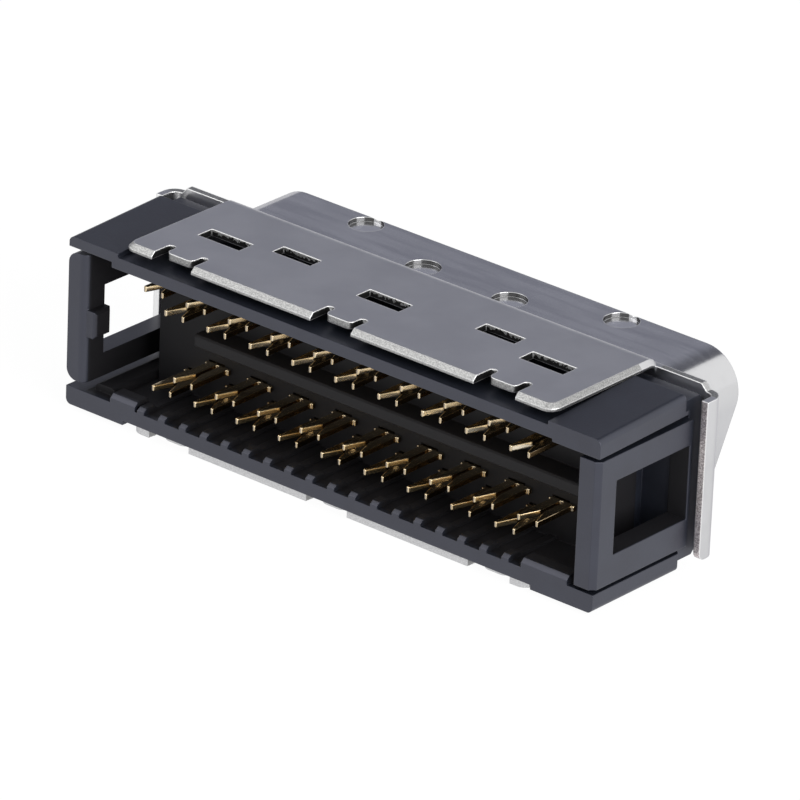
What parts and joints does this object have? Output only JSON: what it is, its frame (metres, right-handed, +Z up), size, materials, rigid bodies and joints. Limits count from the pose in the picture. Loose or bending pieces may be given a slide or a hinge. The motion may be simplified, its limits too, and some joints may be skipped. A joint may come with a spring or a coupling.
{
  "type": "shielded ribbon plug connector",
  "caption": "Shielded cable plug with two rows of insulation piercing forks behind and a drawn metal collar around a ribbon contact tongue in front.",
  "frame": {"origin": "middle of the part's bounding box, at the height of the lowest face, the underside of the shell's lower tab", "axes": "+X along the contact rows, +Y towards the mating side, +Z up, with the wide side of the D-shaped collar up"},
  "size_m": [0.0324, 0.0122, 0.0091],
  "materials": {
    "insulator": "moulded, fine satin grain",
    "shell": "nickel plated sheet, satin",
    "contacts": "thin gold plating, satin"
  },
  "bodies": {
    "root": {"insulator_body": "insulator", "shell": "shell", "contact_upper_01": "contacts", "contact_lower_01": "contacts", "contact_upper_02": "contacts", "contact_lower_02": "contacts", "contact_upper_03": "contacts", "contact_lower_03": "contacts", "contact_upper_04": "contacts", "contact_lower_04": "contacts", "contact_upper_05": "contacts", "contact_lower_05": "contacts", "contact_upper_06": "contacts", "contact_lower_06": "contacts", "contact_upper_07": "contacts", "contact_lower_07": "contacts", "contact_upper_08": "contacts", "contact_lower_08": "contacts", "contact_upper_09": "contacts", "contact_lower_09": "contacts", "contact_upper_10": "contacts", "contact_lower_10": "contacts", "contact_upper_11": "contacts", "contact_lower_11": "contacts", "contact_upper_12": "contacts", "contact_lower_12": "contacts", "contact_upper_13": "contacts", "contact_lower_13": "contacts", "contact_upper_14": "contacts", "contact_lower_14": "contacts", "contact_upper_15": "contacts", "contact_lower_15": "contacts", "contact_upper_16": "contacts", "contact_lower_16": "contacts", "contact_upper_17": "contacts", "contact_lower_17": "contacts", "contact_upper_18": "contacts", "contact_lower_18": "contacts"}
  },
  "joints": []
}
